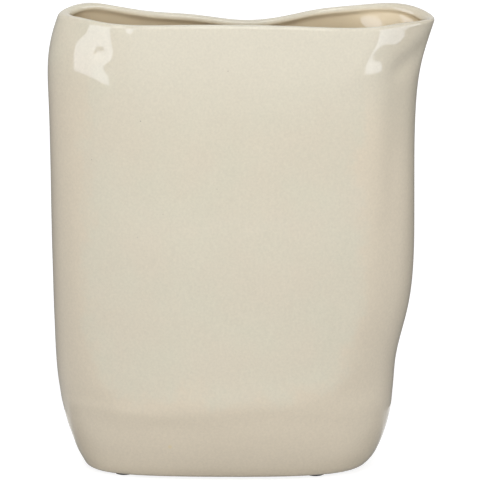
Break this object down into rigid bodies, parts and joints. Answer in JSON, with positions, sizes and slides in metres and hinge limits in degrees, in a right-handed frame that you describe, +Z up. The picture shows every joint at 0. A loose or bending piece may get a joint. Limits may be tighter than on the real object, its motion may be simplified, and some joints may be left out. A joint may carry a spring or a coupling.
{
  "type": "pillow vase",
  "caption": "Wide, flat-sided glazed ceramic vase with a bellied body, turned-in foot and wavy open lip, for holding cut or dried stems.",
  "frame": {"origin": "on the surface the vase stands on, under the middle of its bounding box", "axes": "+Z up, +X along the width to the right of the picture, +Y through the thickness away from the camera"},
  "size_m": [0.2897, 0.12, 0.3559],
  "materials": {
    "glaze": "gloss",
    "pad": "matte"
  },
  "bodies": {
    "root": {"vase_body": "glaze", "foot_pad_front_left": "pad", "foot_pad_front_right": "pad", "foot_pad_back_left": "pad", "foot_pad_back_right": "pad"}
  },
  "joints": []
}
